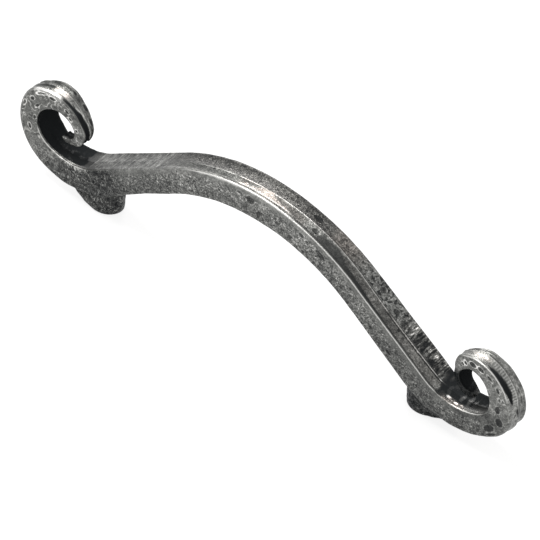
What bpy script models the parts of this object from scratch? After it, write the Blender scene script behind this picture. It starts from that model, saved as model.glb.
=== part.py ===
"""A cast bar pull: a bowed bar whose two ends curl up into scrolls, carried on two short posts.

The mounting plane is z = 0, +X runs along the bar and +Z points away from the drawer front. The origin
is midway between the two fixing holes.
"""

import math

import bmesh
import bpy
import numpy as np

MM = 0.001

# Fixing: a blind tapped hole up each post
HOLE_SPACING = 96.0 * MM
TAP_DRILL_DIAMETER = 3.3 * MM
HOLE_DEPTH = 8.0 * MM
DRILL_POINT_ANGLE = math.radians(118.0)
COUNTERSINK_DIAMETER = 4.4 * MM
COUNTERSINK_DEPTH = 0.6 * MM

# Centreline of one half: the arch, a straight flank down to the post, a bend under it, then the scroll
HEIGHT_OVER_POST = 8.9 * MM
ARCH_RADIUS = 49.2 * MM
ARCH_TURN = math.radians(34.0)
BEND_RADIUS = 18.0 * MM
BEND_TURN = math.radians(59.2)
SCROLL_START_RADIUS = 9.05 * MM
SCROLL_MIDDLE_RADIUS = 6.85 * MM
SCROLL_END_RADIUS = 1.8 * MM
SCROLL_TURN = math.radians(372.0)

# Section of the bar at the places where it changes; the scroll's is this share of the way to its tip
SCROLL_SECTION_SHARE = 0.44
APEX_THICKNESS = 7.6 * MM
ARCH_END_THICKNESS = 6.7 * MM
POST_THICKNESS = 7.2 * MM
SCROLL_THICKNESS = 5.6 * MM
TIP_THICKNESS = 1.3 * MM
APEX_WIDTH = 7.4 * MM
POST_WIDTH = 8.3 * MM
SCROLL_WIDTH = 5.9 * MM
TIP_WIDTH = 2.4 * MM
EDGE_ROUND = 0.35 * MM
RIM_WIDTH = 0.3 * MM
FLUTE_DEPTH = 0.4 * MM

# In the thin tail of a scroll the edge, the rim and the flute shrink with the section
LARGEST_EDGE_SHARE = 0.12
LARGEST_RIM_SHARE = 0.08
LARGEST_FLUTE_SHARE = 0.08

# Posts: an oval foot that flares outwards, towards the scroll, as it runs into the bar
FOOT_LENGTH = 9.3 * MM
FOOT_WIDTH = 7.1 * MM
FOOT_EDGE = 0.4 * MM
OUTER_FLARE = 11.0 * MM
INNER_FLARE = 0.2 * MM
SIDE_FLARE = 0.5 * MM
FLARE_POWER = 0.7

# Fineness of the mesh
ARCH_STEPS = 10
FLANK_STEPS = 3
BEND_STEPS = 8
SCROLL_STEPS = 40
FLUTE_STEPS = 3
POST_RISE_STEPS = 7
POST_SIDES = 28
HOLE_SIDES = 24
MERGE_DISTANCE = 0.01 * MM
SHARP_ANGLE = math.radians(35.0)

# What follows from the sizes above
POST_X = HOLE_SPACING / 2
ARCH_RUN = ARCH_RADIUS * math.sin(ARCH_TURN)
ARCH_DROP = ARCH_RADIUS * (1 - math.cos(ARCH_TURN))
FLANK_LENGTH = (POST_X - ARCH_RUN) / math.cos(ARCH_TURN)
APEX_HEIGHT = HEIGHT_OVER_POST + FLANK_LENGTH * math.sin(ARCH_TURN) + ARCH_DROP
ARCH_END = ARCH_RADIUS * ARCH_TURN
FLANK_END = ARCH_END + FLANK_LENGTH
BEND_END = FLANK_END + BEND_RADIUS * BEND_TURN
SCROLL_RADII = (SCROLL_START_RADIUS, SCROLL_MIDDLE_RADIUS, SCROLL_END_RADIUS)
SCROLL_LENGTH = SCROLL_TURN * (SCROLL_START_RADIUS + 2 * SCROLL_MIDDLE_RADIUS + SCROLL_END_RADIUS) / 4
SCROLL_SECTION_AT = BEND_END + SCROLL_SECTION_SHARE * SCROLL_LENGTH
TIP = BEND_END + SCROLL_LENGTH


def clear_scene():
    for old in list(bpy.data.objects):
        bpy.data.objects.remove(old, do_unlink=True)


def centreline():
    """(distance along, x, z, heading) from the top of the arch out to the tip of one scroll."""
    steps = [(ARCH_END / ARCH_STEPS, -ARCH_TURN / ARCH_STEPS)] * ARCH_STEPS
    steps += [(FLANK_LENGTH / FLANK_STEPS, 0.0)] * FLANK_STEPS
    steps += [(BEND_RADIUS * BEND_TURN / BEND_STEPS, BEND_TURN / BEND_STEPS)] * BEND_STEPS
    turn = SCROLL_TURN / SCROLL_STEPS
    for k in range(SCROLL_STEPS):
        radius = np.interp((k + 0.5) / SCROLL_STEPS, (0.0, 0.5, 1.0), SCROLL_RADII)
        steps.append((radius * turn, turn))
    stations = [(0.0, 0.0, APEX_HEIGHT, 0.0)]
    for length, turned in steps:
        along, x, z, heading = stations[-1]
        middle = heading + turned / 2
        x += length * math.cos(middle)
        z += length * math.sin(middle)
        stations.append((along + length, x, z, heading + turned))
    return stations


def thickness_at(along):
    places = (0.0, ARCH_END, FLANK_END, SCROLL_SECTION_AT, TIP)
    sizes = (APEX_THICKNESS, ARCH_END_THICKNESS, POST_THICKNESS, SCROLL_THICKNESS, TIP_THICKNESS)
    return float(np.interp(along, places, sizes))


def width_at(along):
    places = (0.0, FLANK_END, SCROLL_SECTION_AT, TIP)
    sizes = (APEX_WIDTH, POST_WIDTH, SCROLL_WIDTH, TIP_WIDTH)
    return float(np.interp(along, places, sizes))


def section(width, thickness):
    """Ring of (across, up) points: each broad face has a rim, two flutes and a ridge between them."""
    smaller = min(width, thickness)
    edge = min(EDGE_ROUND, LARGEST_EDGE_SHARE * smaller)
    rim = min(RIM_WIDTH, LARGEST_RIM_SHARE * smaller)
    depth = min(FLUTE_DEPTH, LARGEST_FLUTE_SHARE * smaller)
    half, top = width / 2, thickness / 2
    flute_start = half - edge - rim
    near = [(half, top - edge), (half - edge, top), (flute_start, top)]
    for k in range(1, FLUTE_STEPS):
        share = k / FLUTE_STEPS
        near.append((flute_start * (1 - share), top - depth * math.sin(math.pi * share)))
    upper = near + [(0.0, top)] + [(-across, up) for across, up in reversed(near)]
    return upper + [(-across, -up) for across, up in upper]


def bar_rings():
    rings = []
    for along, x, z, heading in centreline():
        outline = section(width_at(along), thickness_at(along))
        rings.append([
            (x - up * math.sin(heading), across, z + up * math.cos(heading)) for across, up in outline
        ])
    return rings


def post_rings(side):
    """Ovals from the foot up to the bar's centreline, which the top of the post follows."""
    run, height = zip(*((x, z) for along, x, z, _ in centreline() if along <= BEND_END))
    levels = [(0.0, 0.0, FOOT_EDGE), (0.0, FOOT_EDGE, 0.0)]
    levels += [(k / POST_RISE_STEPS, 0.0, 0.0) for k in range(1, POST_RISE_STEPS + 1)]
    rings = []
    for share, lift, inset in levels:
        grown = share ** FLARE_POWER
        outer = FOOT_LENGTH / 2 - inset + grown * OUTER_FLARE
        inner = FOOT_LENGTH / 2 - inset + grown * INNER_FLARE
        across = FOOT_WIDTH / 2 - inset + grown * SIDE_FLARE
        ring = []
        for k in range(POST_SIDES):
            angle = 2 * math.pi * k / POST_SIDES
            reach = outer if math.cos(angle) > 0 else inner
            x = POST_X + reach * math.cos(angle)
            z = lift + share * float(np.interp(x, run, height))
            ring.append((side * x, across * math.sin(angle), z))
        rings.append(ring)
    return rings


def loft(name, rings, close_start):
    """A mesh whose faces join each ring of points to the next, closed at its last ring."""
    shape = bmesh.new()
    made = [[shape.verts.new(point) for point in ring] for ring in rings]
    for ring, following in zip(made, made[1:]):
        for k in range(len(ring)):
            after = (k + 1) % len(ring)
            shape.faces.new((ring[k], ring[after], following[after], following[k]))
    shape.faces.new(made[-1])
    if close_start:
        shape.faces.new(list(reversed(made[0])))
    bmesh.ops.recalc_face_normals(shape, faces=shape.faces)
    mesh = bpy.data.meshes.new(name)
    shape.to_mesh(mesh)
    shape.free()
    mesh.shade_smooth()
    mesh.set_sharp_from_angle(angle=SHARP_ANGLE)
    return mesh


def hole_profile():
    """Half outline of a drilled and countersunk hole, down its outer side, past the foot's face."""
    drill = TAP_DRILL_DIAMETER / 2
    countersink = COUNTERSINK_DIAMETER / 2
    point = drill / math.tan(DRILL_POINT_ANGLE / 2)
    past_face = countersink + (countersink - drill)
    outline = [
        (0.0, HOLE_DEPTH + point),
        (drill, HOLE_DEPTH),
        (drill, COUNTERSINK_DEPTH),
        (past_face, -COUNTERSINK_DEPTH),
        (0.0, -COUNTERSINK_DEPTH),
    ]
    mesh = bpy.data.meshes.new("tapped_hole")
    edges = [(k, k + 1) for k in range(len(outline) - 1)]
    mesh.from_pydata([(x, 0.0, z) for x, z in outline], edges, [])
    return mesh


def as_cutter(obj, collection):
    collection.objects.link(obj)
    obj.hide_render = True
    obj.display_type = "WIRE"
    return obj


def make_post(side, name, collection):
    return as_cutter(bpy.data.objects.new(name, loft(name, post_rings(side), True)), collection)


def make_hole(side, name, collection):
    hole = as_cutter(bpy.data.objects.new(name, hole_profile()), collection)
    hole.location.x = side * POST_X
    turn = hole.modifiers.new("turn", "SCREW")
    turn.steps = HOLE_SIDES
    turn.render_steps = HOLE_SIDES
    turn.use_merge_vertices = True
    turn.merge_threshold = MERGE_DISTANCE
    return hole


def combine(obj, other, operation):
    boolean = obj.modifiers.new(f"{operation.lower()} {other.name}", "BOOLEAN")
    boolean.operation = operation
    boolean.solver = "EXACT"
    boolean.object = other


def cast_metal():
    material = bpy.data.materials.new("aged_cast_metal")
    material.use_nodes = True
    shader = material.node_tree.nodes["Principled BSDF"]
    shader.inputs["Base Color"].default_value = (0.16, 0.16, 0.15, 1.0)
    shader.inputs["Metallic"].default_value = 0.9
    shader.inputs["Roughness"].default_value = 0.45
    return material


def make_pull(part_collection, cutter_collection):
    pull = bpy.data.objects.new("pull", loft("pull", bar_rings(), False))
    part_collection.objects.link(pull)
    pull.data.materials.append(cast_metal())
    mirror = pull.modifiers.new("other half", "MIRROR")
    mirror.merge_threshold = MERGE_DISTANCE
    for side, word in ((-1, "left"), (1, "right")):
        combine(pull, make_post(side, f"{word}_post", cutter_collection), "UNION")
    for side, word in ((-1, "left"), (1, "right")):
        combine(pull, make_hole(side, f"{word}_hole", cutter_collection), "DIFFERENCE")
    return pull


def main():
    clear_scene()
    part_collection = bpy.data.collections.new("bar_pull")
    cutter_collection = bpy.data.collections.new("cutters")
    bpy.context.scene.collection.children.link(part_collection)
    bpy.context.scene.collection.children.link(cutter_collection)
    make_pull(part_collection, cutter_collection)


main()
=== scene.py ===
"""Looks of the cast bar pull: its worked skin, patina and worn edges, painted highlights and shade, and the
studio around it.
"""

import itertools
import math
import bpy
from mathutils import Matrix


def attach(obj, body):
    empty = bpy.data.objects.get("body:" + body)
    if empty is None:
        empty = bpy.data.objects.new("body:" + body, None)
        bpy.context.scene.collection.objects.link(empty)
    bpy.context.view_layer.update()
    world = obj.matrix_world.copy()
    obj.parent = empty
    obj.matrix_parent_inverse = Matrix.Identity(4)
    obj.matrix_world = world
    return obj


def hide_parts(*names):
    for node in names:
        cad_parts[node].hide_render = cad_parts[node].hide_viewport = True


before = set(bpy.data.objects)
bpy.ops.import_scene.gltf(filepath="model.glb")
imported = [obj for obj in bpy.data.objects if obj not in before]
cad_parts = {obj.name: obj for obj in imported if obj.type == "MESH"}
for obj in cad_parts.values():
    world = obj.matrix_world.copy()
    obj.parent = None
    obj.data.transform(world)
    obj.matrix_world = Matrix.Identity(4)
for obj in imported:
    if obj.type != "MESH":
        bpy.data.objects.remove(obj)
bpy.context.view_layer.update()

import types

import bmesh
import bpy
import numpy as np
from mathutils import Matrix, Vector
from mathutils.kdtree import KDTree

MM = 0.001

# View of the photograph: where the camera stands, and the point that it aims at
CAMERA_AZIMUTH = math.radians(38.2)
CAMERA_ELEVATION = math.radians(43.15)
CAMERA_ROLL = math.radians(3.95)
CAMERA_DISTANCE = 2385.0 * MM
CAMERA_AIM = Vector((-2.8, 4.4, 5.6)) * MM
CAMERA_LENS = 697.8
SENSOR_WIDTH = 36.0

# Form of the bar, as in its solid
HOLE_SPACING = 96.0 * MM
HEIGHT_OVER_POST = 8.9 * MM
ARCH_RADIUS = 49.2 * MM
ARCH_TURN = math.radians(34.0)
BEND_RADIUS = 18.0 * MM
BEND_TURN = math.radians(59.2)
SCROLL_RADII = (9.05 * MM, 6.85 * MM, 1.8 * MM)
SCROLL_TURN = math.radians(372.0)
SCROLL_SECTION_SHARE = 0.44
THICKNESSES = (7.6 * MM, 6.7 * MM, 7.2 * MM, 5.6 * MM, 1.3 * MM)
WIDTHS = (7.4 * MM, 8.3 * MM, 5.9 * MM, 2.4 * MM)
FOOT_LENGTH = 9.3 * MM
FOOT_WIDTH = 7.1 * MM
FOOT_EDGE = 0.4 * MM
OUTER_FLARE = 11.0 * MM
INNER_FLARE = 0.2 * MM
SIDE_FLARE = 0.5 * MM
FLARE_POWER = 0.7

# Broad faces: a bead along each edge, a groove inside it, then two flutes with a ridge between
EDGE_ROUND = 0.35 * MM
WORN_EDGE_ROUND = 1.1 * MM
BEAD_WIDTH = 0.3 * MM
GROOVE_WIDTH = 0.3 * MM
GROOVE_DEPTH = 0.06 * MM
FLUTE_DEPTH = 0.42 * MM
RIDGE_WIDTH = 0.2 * MM
RIDGE_RISE = 0.12 * MM
LARGEST_EDGE_SHARE = 0.12
LARGEST_BEAD_SHARE = 0.08
LARGEST_FLUTE_SHARE = 0.08
FLUTE_STEP_SHARE = 0.12

# How far hand finishing moved the lower face, which is the outside of the scrolls, and the upper face,
# their inside, out of the bar: distance along and shift, in mm. Far and near ones move that half alone
OUTSIDE_SHIFTS = (
    (-109.0, 0.0), (-107.0, 0.6), (-104.0, 0.6), (-101.5, 0.0), (-91.0, 0.0), (-88.5, 0.08), (-86.5, 0.0),
    (-84.0, -0.25), (-80.0, -0.25), (-76.0, 0.0), (-52.0, 0.0), (-46.0, -0.35), (-38.0, -0.35),
    (-31.0, 0.0), (58.0, 0.0), (62.0, -0.5), (73.0, -0.5), (76.0, 0.1), (79.0, 0.4), (81.0, 0.3),
    (83.5, -0.1), (97.0, 0.0), (99.5, 0.0), (101.5, -0.7), (103.5, -1.5), (106.0, -1.3), (108.0, -0.8),
    (111.0, 0.3),
)
OUTSIDE_FAR_SHIFTS = (
    (-98.5, 0.0), (-96.5, 0.4), (-94.0, 0.2), (-92.0, -0.3), (-89.5, -0.75), (-87.0, -0.15), (-85.0, 0.0),
    (85.0, 0.0), (87.5, -0.35), (92.0, -0.35), (94.0, -0.1), (95.5, -0.2), (97.0, -0.5), (99.0, -0.5),
    (101.0, 0.0),
)
INSIDE_FAR_SHIFTS = (
    (-99.0, 0.0), (-96.0, 1.3), (-82.0, 1.3), (-79.0, 1.2), (-75.0, 1.0), (-71.5, 0.0), (64.0, 0.0),
    (66.5, 0.45), (72.0, 0.45), (75.0, 0.0), (93.0, 0.0), (98.0, 0.9), (103.0, 1.3),
)
INSIDE_NEAR_SHIFTS = ((87.5, 0.0), (90.0, -0.45), (97.0, -0.5), (99.5, 0.0))

# How far the left and the right post stand aside, and how far the left one bulges outwards and nearer
POST_SHIFTS = (-0.45 * MM, -0.3 * MM)
LEFT_POST_OUTWARD = 0.35 * MM
LEFT_POST_NEARER = 0.4 * MM

# Fillets of the posts: in full up to the start and gone at the end, measured from where post and bar join
FILLET_START = 0.4 * MM
FILLET_END = 1.6 * MM
FILLET_ROUNDS = 25
FILLET_PACE = 0.6
RIGHT_NEAR_FILLET_SHARE = 0.3

# A point this close to one of the bar's own is that point
SAME_POINT = 0.02 * MM

# Spacing of the fine lines cut across the ridge of the right scroll, in mm
HATCH_SPACING = 0.54

# Tapped holes, and the margin within which a point counts as in one
TAP_DRILL_RADIUS = 1.65 * MM
THREAD_RADIUS = 2.0 * MM
THREAD_PITCH = 0.7 * MM
HOLE_DEPTH = 8.0 * MM
DRILL_POINT = 1.0 * MM
COUNTERSINK_RADIUS = 2.2 * MM
COUNTERSINK_DEPTH = 0.6 * MM
HOLE_MARGIN = 0.04 * MM

# Colours from black patina, at 0, to bright worn metal, at 1, which painted shade and highlights use too, and
# the tint of the warm places
METAL_COLOURS = (
    (0.0, (0.03, 0.033, 0.035)), (0.2, (0.029, 0.03, 0.03)), (0.4, (0.066, 0.067, 0.065)),
    (0.6, (0.155, 0.157, 0.15)), (0.8, (0.36, 0.36, 0.345)), (1.0, (0.88, 0.87, 0.85)),
)
WARM_TINT = (1.03, 0.93, 0.895)

# How much brighter the light web is than the skin under it, and how far the skin's grain stands out
WEB_STRENGTH = 0.34
GRAIN_RISE = 0.15 * MM

# Studio: the floor's size, its colour and how it glows where it is seen, and the world as a light
FLOOR_SIZE = 12.0
FLOOR_COLOUR = (0.34, 0.34, 0.34)
FLOOR_GLOW = 0.83
WORLD_LIGHT = 0.45

# Fineness of the mesh
STATION_SPACING = 0.31 * MM
SIDE_STEPS = 20
CORNER_STEPS = 4
FLUTE_STEPS = 10
POST_RISE_STEPS = 26
POST_SIDES = 80
HOLE_SIDES = 40
HOLE_STEP = 0.1 * MM

# What follows from the sizes above
POST_X = HOLE_SPACING / 2
ARCH_RUN = ARCH_RADIUS * math.sin(ARCH_TURN)
ARCH_DROP = ARCH_RADIUS * (1 - math.cos(ARCH_TURN))
FLANK_LENGTH = (POST_X - ARCH_RUN) / math.cos(ARCH_TURN)
APEX_HEIGHT = HEIGHT_OVER_POST + FLANK_LENGTH * math.sin(ARCH_TURN) + ARCH_DROP
ARCH_END = ARCH_RADIUS * ARCH_TURN
FLANK_END = ARCH_END + FLANK_LENGTH
BEND_END = FLANK_END + BEND_RADIUS * BEND_TURN
SCROLL_LENGTH = SCROLL_TURN * (SCROLL_RADII[0] + 2 * SCROLL_RADII[1] + SCROLL_RADII[2]) / 4
SCROLL_SECTION_AT = BEND_END + SCROLL_SECTION_SHARE * SCROLL_LENGTH
TIP = BEND_END + SCROLL_LENGTH

# Where no dent is near, its rim is taken to be this far away
NO_DENT = 9.0 * MM

# Dents on the near side face: distance along, height over the middle, length and breadth, in mm
NEAR_DENTS = (
    (-6.3, 2.0, 1.6, 1.0), (-3.4, 1.3, 2.5, 2.3), (-0.9, -1.6, 1.2, 2.6), (11.6, 1.7, 1.7, 1.2),
    (13.6, 1.1, 1.3, 1.1), (17.6, 1.2, 3.0, 1.7), (37.0, -0.9, 2.2, 1.0), (44.0, -1.2, 2.4, 0.9),
    (-88.1, -0.9, 1.3, 1.0), (-93.9, -1.0, 1.7, 1.0), (-88.1, 1.1, 1.9, 0.7), (-83.3, 2.2, 2.0, 0.8),
    (-98.0, -0.3, 1.2, 0.9), (-99.9, 0.6, 1.3, 0.8), (-103.4, 0.3, 1.0, 0.7), (-85.2, -1.7, 1.5, 0.8),
    (-91.2, -1.7, 2.2, 0.7), (-69.7, -1.3, 1.4, 0.9), (-66.6, 1.9, 0.9, 0.6), (-79.5, 0.6, 1.6, 0.9),
    (82.5, 0.3, 2.2, 1.6), (79.5, -0.9, 2.0, 1.9), (75.6, -0.6, 3.2, 1.9), (75.2, -2.2, 2.6, 0.8),
    (87.6, -1.2, 1.4, 1.0), (85.4, -0.6, 1.1, 0.8), (85.3, -1.7, 0.8, 0.6), (90.6, -1.0, 1.6, 0.9),
    (93.2, -0.7, 1.7, 1.3), (95.6, -0.4, 1.9, 1.5), (97.8, -0.2, 0.9, 1.3), (99.0, 0.1, 0.8, 1.1),
)

# Pits in the upper face: distance along, place across, length and breadth, in mm
UPPER_PITS = (
    (32.3, 2.1, 1.8, 1.6), (38.1, 1.4, 2.0, 1.6), (11.6, 1.8, 2.6, 1.6), (13.3, -1.3, 2.0, 1.4),
    (11.6, -2.6, 0.9, 0.7), (12.5, -2.9, 0.5, 0.5), (14.4, 1.7, 1.3, 0.6), (21.1, 1.8, 0.35, 2.3),
    (41.6, -1.3, 0.9, 0.8), (3.2, 0.9, 0.9, 0.5), (6.4, 1.0, 1.1, 0.6), (8.6, 1.2, 1.0, 0.5),
    (-15.8, -0.9, 1.1, 0.6), (-12.4, -0.8, 0.9, 0.5), (34.6, 2.6, 0.8, 0.5), (36.0, 0.9, 0.7, 0.6),
)

# Pits in the lower face, which is the outside of the scrolls, in the same terms
LOWER_PITS = (
    (-93.9, 0.5, 0.6, 0.7), (-96.4, 1.5, 0.9, 0.6), (-99.6, 1.5, 1.6, 0.8), (-102.4, 1.3, 1.9, 0.8),
    (95.6, 1.7, 1.1, 0.4), (92.9, 1.1, 0.9, 0.5), (88.2, 1.5, 0.6, 0.4), (85.6, 1.7, 1.3, 0.5),
    (84.2, 1.9, 0.9, 0.5), (81.3, -1.2, 0.5, 0.9), (82.7, -0.7, 0.4, 1.2), (83.2, 1.9, 1.0, 0.5),
    (-91.5, 1.9, 1.6, 0.4), (-87.5, -1.9, 1.4, 0.6), (80.2, 0.2, 2.6, 0.4),
)


def smooth_step(low, high, value):
    share = np.clip((value - low) / (high - low), 0.0, 1.0)
    return share * share * (3 - 2 * share)


def hill(value, middle, spread):
    return np.exp(-(((value - middle) / spread) ** 2))


def between(value, low, high, fade):
    return smooth_step(low - fade, low + fade, value) * (1 - smooth_step(high - fade, high + fade, value))


def interpolate(place, rows):
    """Value at each place, between rows of (place, value)."""
    places, values = zip(*rows)
    return np.interp(place, places, values)


def noise(points, cell, seed):
    """Smooth random values from -1 to 1 at the points; cell is the size of one lump."""
    grid = np.asarray(points) / cell
    base = np.floor(grid).astype(np.int64)
    part = grid - base
    part = part * part * (3 - 2 * part)
    total = np.zeros(len(grid))
    for corner in itertools.product((0, 1), repeat=grid.shape[1]):
        mixed = np.full(len(grid), seed * 2654435761, dtype=np.int64)
        weight = np.ones(len(grid))
        for axis, step in enumerate(corner):
            mixed = (mixed ^ (base[:, axis] + step)) * 73856093 + 19349663
            mixed ^= (mixed >> 15) & 0x1FFFF
            weight *= part[:, axis] if step else 1 - part[:, axis]
        total += weight * ((mixed >> 8) & 0xFFFF) / 0x7FFF
    return total - 1


def centreline(spacing):
    """Rows of (distance along, x, z, heading) from the top of the arch out to a scroll's tip."""
    lengths, turns = [], []
    for length, turned in ((ARCH_END, -ARCH_TURN), (FLANK_LENGTH, 0.0), (BEND_END - FLANK_END, BEND_TURN)):
        steps = round(length / spacing)
        lengths += [length / steps] * steps
        turns += [turned / steps] * steps
    steps = round(SCROLL_LENGTH / spacing)
    radii = np.interp((np.arange(steps) + 0.5) / steps, (0.0, 0.5, 1.0), SCROLL_RADII)
    lengths = np.concatenate([lengths, radii * (SCROLL_TURN / steps)])
    turns = np.concatenate([turns, np.full(steps, SCROLL_TURN / steps)])
    heading = np.concatenate([[0.0], np.cumsum(turns)])
    middle = (heading[1:] + heading[:-1]) / 2
    along = np.concatenate([[0.0], np.cumsum(lengths)])
    x = np.concatenate([[0.0], np.cumsum(lengths * np.cos(middle))])
    z = APEX_HEIGHT + np.concatenate([[0.0], np.cumsum(lengths * np.sin(middle))])
    return np.stack([along, x, z, heading], axis=1)


def thickness_at(along):
    return np.interp(np.abs(along), (0.0, ARCH_END, FLANK_END, SCROLL_SECTION_AT, TIP), THICKNESSES)


def width_at(along):
    return np.interp(np.abs(along), (0.0, FLANK_END, SCROLL_SECTION_AT, TIP), WIDTHS)


def ridge_shift(along):
    """How far the ridge wanders from the middle of a broad face."""
    return (0.3 * np.sin(along / (9 * MM)) - 0.35) * MM


def ridge_share(along):
    """Share of the ridge's full height on the upper face: the left flank is filed almost flat."""
    return 1 - 0.75 * between(along, -66 * MM, -24 * MM, 5 * MM)


def near_worn(along):
    """How far the near half of a scroll's outside is worn round: its edge softened and its flute gone."""
    left = 0.9 * between(-along, 74 * MM, 89 * MM, 3 * MM)
    right = 0.75 * between(along, 74 * MM, 82.5 * MM, 1.5 * MM)
    return left + right


def half_face(half, top, depth, fineness, share, worn):
    """(across, up) points of half a broad face, from its side face to the middle."""
    edge = min(EDGE_ROUND, LARGEST_EDGE_SHARE * 2 * min(half, top))
    edge += (WORN_EDGE_ROUND - edge) * worn
    bead = min(BEAD_WIDTH, LARGEST_BEAD_SHARE * 2 * min(half, top))
    share = share * (1 - worn)
    points = []
    for k in range(CORNER_STEPS + 1):
        angle = math.pi / 2 * k / CORNER_STEPS
        points.append((half - edge + edge * math.cos(angle), top - edge + edge * math.sin(angle)))
    inside = half - edge - bead
    groove = GROOVE_WIDTH * fineness
    points.append((inside, top))
    points.append((inside - groove / 2, top - GROOVE_DEPTH * fineness * (1 - worn)))
    start = inside - groove
    ridge = RIDGE_WIDTH * fineness
    for k in range(FLUTE_STEPS + 1):
        part = k / FLUTE_STEPS
        hollow = math.sin(math.pi * (0.1 + 0.8 * part ** 0.8))
        fall = FLUTE_STEP_SHARE * (1 - worn) + (1 - FLUTE_STEP_SHARE) * hollow * share
        points.append((start + (ridge - start) * part, top - depth * fall))
    points.append((0.0, points[-1][1] + RIDGE_RISE * fineness * share))
    return points


def section(along):
    """Ring of (across, up) points at one place along the bar."""
    half, top = width_at(along) / 2, thickness_at(along) / 2
    depth = min(FLUTE_DEPTH, LARGEST_FLUTE_SHARE * 2 * min(half, top))
    fineness = depth / FLUTE_DEPTH
    worn = near_worn(along)
    ring = []
    for sign, share, first_worn, next_worn in ((1, ridge_share(along), 0.0, worn), (-1, 1.0, worn, 0.0)):
        first = half_face(half, top, depth, fineness, share, first_worn)
        second = half_face(half, top, depth, fineness, share, 0.0)
        following = half_face(half, top, depth, fineness, 1.0, next_worn)
        face = first + [(-across, up) for across, up in reversed(second[:-1])]
        across, up = np.array(face).T
        across = across + ridge_shift(along) * fineness * (1 - (across / half) ** 2) ** 2
        ring.append(np.stack([sign * across, sign * up], axis=1))
        steps = np.arange(1, SIDE_STEPS) / SIDE_STEPS
        start, end = second[0][1], -following[0][1]
        heights = start + (end - start) * steps
        ring.append(np.stack([np.full(len(steps), -sign * half), sign * heights], axis=1))
    return np.concatenate(ring)


def bar_surface():
    """Rings of the whole bar from tip to tip, and the place (along, across, up) of each point."""
    right = centreline(STATION_SPACING)
    left = right[:0:-1] * (-1.0, -1.0, 1.0, -1.0)
    rings, places = [], []
    for along, x, z, heading in np.concatenate([left, right]):
        across, up = section(along).T
        rings.append(np.stack([x - up * math.sin(heading), across, z + up * math.cos(heading)], axis=1))
        places.append(np.stack([np.full(len(up), along), across, up], axis=1))
    return rings, np.concatenate(places)


def post_rings(side):
    """Ovals from the foot up to the bar's centreline, which the top of the post follows."""
    outward = centreline(STATION_SPACING)
    outward = outward[outward[:, 0] <= BEND_END]
    angle = 2 * math.pi * np.arange(POST_SIDES) / POST_SIDES
    levels = [(0.0, 0.0, FOOT_EDGE), (0.0, 0.3 * FOOT_EDGE, 0.3 * FOOT_EDGE), (0.0, FOOT_EDGE, 0.0)]
    levels += [(k / POST_RISE_STEPS, 0.0, 0.0) for k in range(2, POST_RISE_STEPS + 1)]
    rings = []
    for share, lift, inset in levels:
        grown = share ** FLARE_POWER
        flare = np.where(np.cos(angle) > 0, OUTER_FLARE, INNER_FLARE)
        reach = FOOT_LENGTH / 2 - inset + grown * flare
        x = POST_X + reach * np.cos(angle)
        y = (FOOT_WIDTH / 2 - inset + grown * SIDE_FLARE) * np.sin(angle)
        z = lift + share * np.interp(x, outward[:, 1], outward[:, 2])
        rings.append(np.stack([side * x, y, z], axis=1))
    return rings


def thread_rings(side):
    """Rings up a tapped hole, its radius rising and falling with the thread's helix."""
    angle = 2 * math.pi * np.arange(HOLE_SIDES) / HOLE_SIDES
    rings = []
    for height in np.arange(-COUNTERSINK_DEPTH, HOLE_DEPTH + HOLE_STEP / 2, HOLE_STEP):
        turn = height / THREAD_PITCH - angle / (2 * math.pi)
        crest = 1 - 2 * np.abs(turn - np.floor(turn) - 0.5)
        radius = TAP_DRILL_RADIUS + (THREAD_RADIUS - TAP_DRILL_RADIUS) * crest
        mouth = COUNTERSINK_RADIUS - (COUNTERSINK_RADIUS - TAP_DRILL_RADIUS) * height / COUNTERSINK_DEPTH
        radius = np.maximum(radius, mouth)
        x = side * (POST_X + radius * np.cos(angle))
        rings.append(np.stack([x, radius * np.sin(angle), np.full(HOLE_SIDES, height)], axis=1))
    # The last ring shrinks almost to the drill's point
    point = np.array([side * POST_X, 0.0, HOLE_DEPTH + DRILL_POINT])
    rings.append(point + (rings[-1] - point) * (0.05, 0.05, 0.02))
    return rings


def loft(name, rings):
    """Object whose faces join each ring of points to the next, closed at both ends."""
    points = np.concatenate(rings)
    count = len(rings[0])
    start = np.arange(len(rings) - 1)[:, None] * count
    k = np.arange(count)
    after = (k + 1) % count
    quads = np.stack([start + k, start + after, start + count + after, start + count + k], axis=-1)
    faces = quads.reshape(-1, 4).tolist()
    faces.append(list(range(count))[::-1])
    faces.append(list(range(len(points) - count, len(points))))
    mesh = bpy.data.meshes.new(name)
    mesh.from_pydata(points.tolist(), [], faces)
    shape = bmesh.new()
    shape.from_mesh(mesh)
    bmesh.ops.recalc_face_normals(shape, faces=shape.faces)
    shape.to_mesh(mesh)
    shape.free()
    obj = bpy.data.objects.new(name, mesh)
    bpy.context.scene.collection.objects.link(obj)
    return obj


def combine(obj, other, operation):
    """Joins other to obj, or cuts it from obj, and removes it."""
    boolean = obj.modifiers.new("combine", "BOOLEAN")
    boolean.operation = operation
    boolean.solver = "MANIFOLD"
    boolean.object = other
    graph = bpy.context.evaluated_depsgraph_get()
    joined = bpy.data.meshes.new_from_object(obj.evaluated_get(graph))
    obj.modifiers.clear()
    obj.data = joined
    bpy.data.objects.remove(other)


def nearest(points, targets):
    """Index of, and distance to, the target that lies nearest each point."""
    tree = KDTree(len(targets))
    for k, target in enumerate(targets):
        tree.insert(target, k)
    tree.balance()
    found = [tree.find(point)[1:] for point in points]
    index, distance = zip(*found)
    return np.array(index), np.array(distance)


def read_vectors(items, name):
    """The named vector of each item, such as the place of each of a mesh's vertices."""
    values = np.empty(3 * len(items))
    items.foreach_get(name, values)
    return values.reshape(-1, 3)


def write_points(mesh, points):
    mesh.vertices.foreach_set("co", points.ravel())
    mesh.update()


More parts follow.
